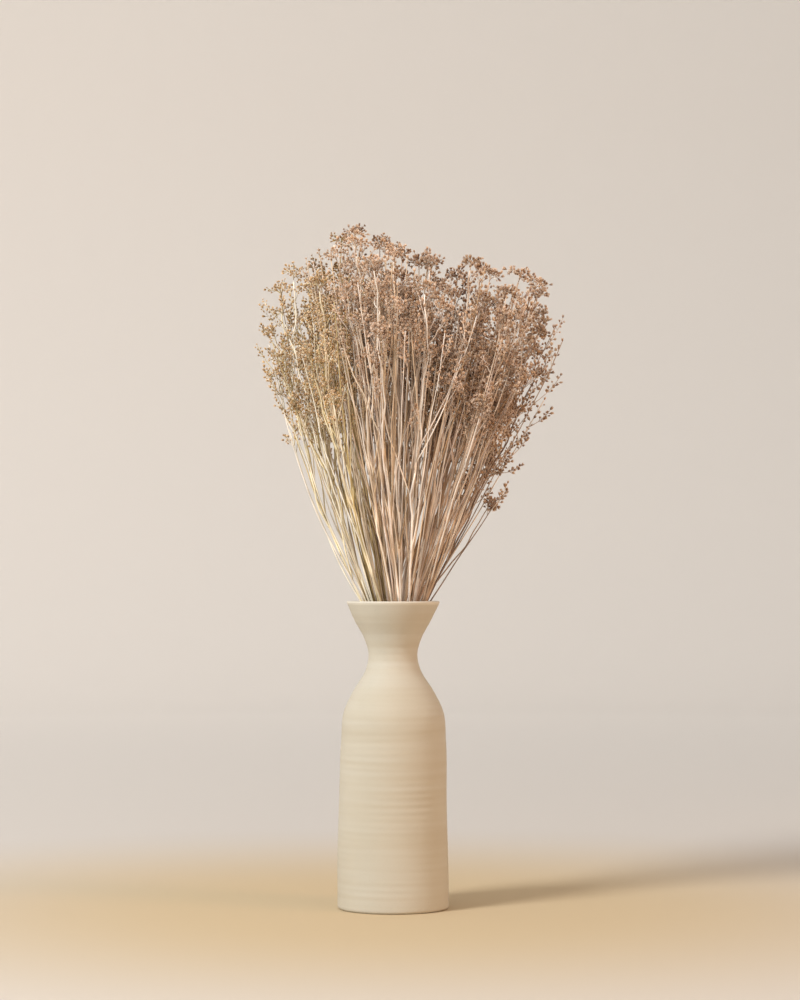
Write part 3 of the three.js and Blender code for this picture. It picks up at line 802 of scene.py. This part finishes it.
def plant_material(lot, colours):
    """Stem or head colours by the bloom attribute, read along their ramps by tone, drawn towards lilac-grey
    by the grey attribute, and lighter and darker in soft patches."""
    material, output = new_material("air-dried " + lot.replace("_", " "))
    tone = add_node(material, "ShaderNodeAttribute", {"attribute_name": "tone"})
    bloom = add_node(material, "ShaderNodeAttribute", {"attribute_name": "bloom"})
    stem = add_node(material, "ShaderNodeValToRGB", {}, {"Fac": (tone, "Fac")})
    set_ramp(stem, colours["stem"])
    head = add_node(material, "ShaderNodeValToRGB", {}, {"Fac": (tone, "Fac")})
    set_ramp(head, colours["head"])
    plant = add_node(
        material, "ShaderNodeMix", {"data_type": "RGBA"},
        {"Factor": (bloom, "Fac"), "A": (stem, "Color"), "B": (head, "Color")},
    )
    grey = add_node(material, "ShaderNodeAttribute", {"attribute_name": "grey"})
    lilac = add_node(material, "ShaderNodeValToRGB", {}, {"Fac": (tone, "Fac")})
    set_ramp(lilac, LILAC_GREY)
    share = add_node(
        material, "ShaderNodeMapRange", {}, {"Value": (grey, "Fac")}, {"To Max": GREY_SHARE}
    )
    greyed = add_node(
        material, "ShaderNodeMix", {"data_type": "RGBA"},
        {"Factor": (share, "Result"), "A": (plant, "Result"), "B": (lilac, "Color")},
    )
    place = add_node(material, "ShaderNodeTexCoord")
    patches = add_node(
        material, "ShaderNodeTexNoise", {}, {"Vector": (place, "Object")},
        {"Scale": 1 / PATCH_SIZE, "Detail": 2},
    )
    shade = add_node(
        material, "ShaderNodeMapRange", {}, {"Value": (patches, "Fac")},
        {
            "From Min": PATCH_NOISE[0], "From Max": PATCH_NOISE[1],
            "To Min": PATCH_SHADE[0], "To Max": PATCH_SHADE[1],
        },
    )
    colour = add_node(
        material, "ShaderNodeHueSaturation", {}, {"Color": (greyed, "Result"), "Value": (shade, "Result")}
    )
    surface = add_node(
        material, "ShaderNodeBsdfPrincipled", {}, {"Base Color": (colour, "Color")},
        {"Roughness": 0.85, "IOR": 1.45, "Specular IOR Level": 0.2},
    )
    material.node_tree.links.new(surface.outputs["BSDF"], output.inputs["Surface"])
    return material


def add_spray(node, material):
    """One spray's piece, made of its parts, standing for its CAD node."""
    random = np.random.default_rng(int(node.split("_")[1]))
    parts = spray_parts(node, random)
    counts = [len(part[0]) for part in parts]
    starts = np.cumsum([0, *counts[:-1]])
    points = np.concatenate([part[0] for part in parts])
    faces = np.concatenate([part[1] + start for part, start in zip(parts, starts)])
    bloom = np.repeat([part[2] for part in parts], counts)
    tone = np.concatenate([part[3] for part in parts])
    grey = np.concatenate([part[4] for part in parts])
    piece = add_piece(
        "dried_" + node, points, faces, material, bloom[faces[:, 0]] > 0.5,
        {"bloom": bloom, "tone": tone, "grey": grey},
    )
    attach(piece, "root")
    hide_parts(node)


plant_materials = {lot: plant_material(lot, colours) for lot, colours in PLANT_LOTS.items()}
for subpart in frame["record"]["subparts"]:
    slot = subpart["material_slot"]
    if subpart["node"].startswith("spray_"):
        add_spray(subpart["node"], plant_materials[slot])


# The stage: a floor that is cream in the middle and curves up, without an edge, into a pale wall all round,
# with painted light and shade across it, a little lighter on the left and darker on the right. A wide soft
# light stands at the upper left in front and a weak warm one at the right, under a plain white sky. The
# camera stands in front, at about the height of the object's middle.
STAGE_RADIUS = 3.6
STAGE_CURVE = 1.6
STAGE_TOP = 5.5
STAGE_SIDES = 96
STAGE_FLOOR_ROWS = 30
STAGE_CURVE_ROWS = 24
STAGE_CREAM = "#C6B291"
STAGE_GREY = "#CFC9C2"
WALL_GREY = "#F4EFE9"
CREAM_REACH = (0.15, 0.8)
WALL_REACH = (0.7, 3.3)
# Painted light and shade across the stage: its colour is lifted a little at the left and darkened at the
# right, along X.
PAINTED_SHADE_ACROSS = (-1.2, 1.2)
PAINTED_LIGHT_AND_SHADE = (1.04, 0.88)
CAMERA_PLACE = (0.006, -2.413, 0.291)
CAMERA_TILT = 1.59
CAMERA_LENS = 98.7
CAMERA_SENSOR = 36
LIGHTS = (
    ("key", (-2.4, -2.3, 2.6), 1.3, 88, "#FFFFFF"),
    ("warm fill", (2.1, -1.1, 0.7), 0.9, 12, "#FFC28C"),
)
LIGHT_AIM = (0, 0, 0.32)
SOFTBOX_SPREAD = 140
SKY_COLOUR = "#FFFFFF"
SKY_STRENGTH = 0.73


def stage_mesh():
    """A level disc whose edge runs on as a quarter circle into an upright wall, turned round the axis."""
    floor = np.column_stack([np.linspace(0, STAGE_RADIUS, STAGE_FLOOR_ROWS), np.zeros(STAGE_FLOOR_ROWS)])
    curve = arc((STAGE_RADIUS, STAGE_CURVE), STAGE_CURVE, -90, 0, STAGE_CURVE_ROWS)[1:]
    wall = [[STAGE_RADIUS + STAGE_CURVE, STAGE_TOP]]
    profile = np.concatenate([floor, curve, wall])
    angle = 2 * math.pi * np.arange(STAGE_SIDES) / STAGE_SIDES
    rings = profile[1:, 0, None]
    points = np.stack([rings * np.cos(angle), rings * np.sin(angle), 0 * angle + profile[1:, 1, None]], -1)
    rows = len(points)
    index = 1 + np.arange(rows * STAGE_SIDES).reshape(rows, STAGE_SIDES)
    after = np.roll(index, -1, axis=1)
    middle = np.stack([np.zeros(STAGE_SIDES, int), index[0], after[0]], -1)
    a, b, c, d = index[:-1], after[:-1], after[1:], index[1:]
    walls = np.concatenate([np.stack([a, c, b], -1).reshape(-1, 3), np.stack([a, d, c], -1).reshape(-1, 3)])
    return np.concatenate([[[0, 0, 0]], points.reshape(-1, 3)]), np.concatenate([middle, walls])


def stage_material():
    """Cream near the middle, grey further out, pale on the wall, by distance; painted shade darkens it to
    the right.
    """
    material, output = new_material("matt painted board")
    place = add_node(material, "ShaderNodeTexCoord")
    distance = add_node(
        material, "ShaderNodeVectorMath", {"operation": "LENGTH"}, {"Vector": (place, "Object")}
    )
    far = add_node(
        material, "ShaderNodeMapRange", {"interpolation_type": "SMOOTHSTEP"},
        {"Value": (distance, "Value")}, {"From Min": CREAM_REACH[0], "From Max": CREAM_REACH[1]},
    )
    colour = add_node(
        material, "ShaderNodeMix", {"data_type": "RGBA"}, {"Factor": (far, "Result")},
        {"A": linear(STAGE_CREAM), "B": linear(STAGE_GREY)},
    )
    axes = add_node(material, "ShaderNodeSeparateXYZ", {}, {"Vector": (place, "Object")})
    outer = add_node(
        material, "ShaderNodeMapRange", {}, {"Value": (distance, "Value")},
        {"From Min": WALL_REACH[0], "From Max": WALL_REACH[1]},
    )
    risen = add_node(
        material, "ShaderNodeMix", {"data_type": "RGBA"},
        {"Factor": (outer, "Result"), "A": (colour, "Result")}, {"B": linear(WALL_GREY)},
    )
    # Painted light and shade: lighter at the left and darker at the right, by X alone.
    shade = add_node(
        material, "ShaderNodeMapRange", {}, {"Value": (axes, "X")},
        {"From Min": PAINTED_SHADE_ACROSS[0], "From Max": PAINTED_SHADE_ACROSS[1], "To Min": PAINTED_LIGHT_AND_SHADE[0], "To Max": PAINTED_LIGHT_AND_SHADE[1]},
    )
    with_painted_shade = add_node(
        material, "ShaderNodeHueSaturation", {}, {"Color": (risen, "Result"), "Value": (shade, "Result")}
    )
    surface = add_node(
        material, "ShaderNodeBsdfPrincipled", {}, {"Base Color": (with_painted_shade, "Color")},
        {"Roughness": 0.95, "Specular IOR Level": 0.1},
    )
    material.node_tree.links.new(surface.outputs["BSDF"], output.inputs["Surface"])
    return material


stage = add_piece("stage_floor", *stage_mesh(), stage_material())

scene = bpy.context.scene
for name, place, size, power, colour in LIGHTS:
    lamp = bpy.data.lights.new(name, "AREA")
    lamp.shape = "DISK"
    lamp.size = size
    lamp.energy = power
    lamp.color = linear(colour)[:3]
    lamp.spread = math.radians(SOFTBOX_SPREAD)
    light = bpy.data.objects.new(name, lamp)
    light.location = place
    light.rotation_euler = (Vector(LIGHT_AIM) - Vector(place)).to_track_quat("-Z", "Y").to_euler()
    scene.collection.objects.link(light)

world = bpy.data.worlds.new("soft white room")
world.use_nodes = True
sky = world.node_tree.nodes["Background"]
sky.inputs["Color"].default_value = linear(SKY_COLOUR)
sky.inputs["Strength"].default_value = SKY_STRENGTH
scene.world = world

lens = bpy.data.cameras.new("camera")
lens.lens = CAMERA_LENS
lens.sensor_width = CAMERA_SENSOR
lens.sensor_fit = "AUTO"
camera = bpy.data.objects.new("camera", lens)
camera.location = CAMERA_PLACE
camera.rotation_euler = (math.radians(90 + CAMERA_TILT), 0, 0)
scene.collection.objects.link(camera)
scene.camera = camera
scene.view_settings.view_transform = "Standard"
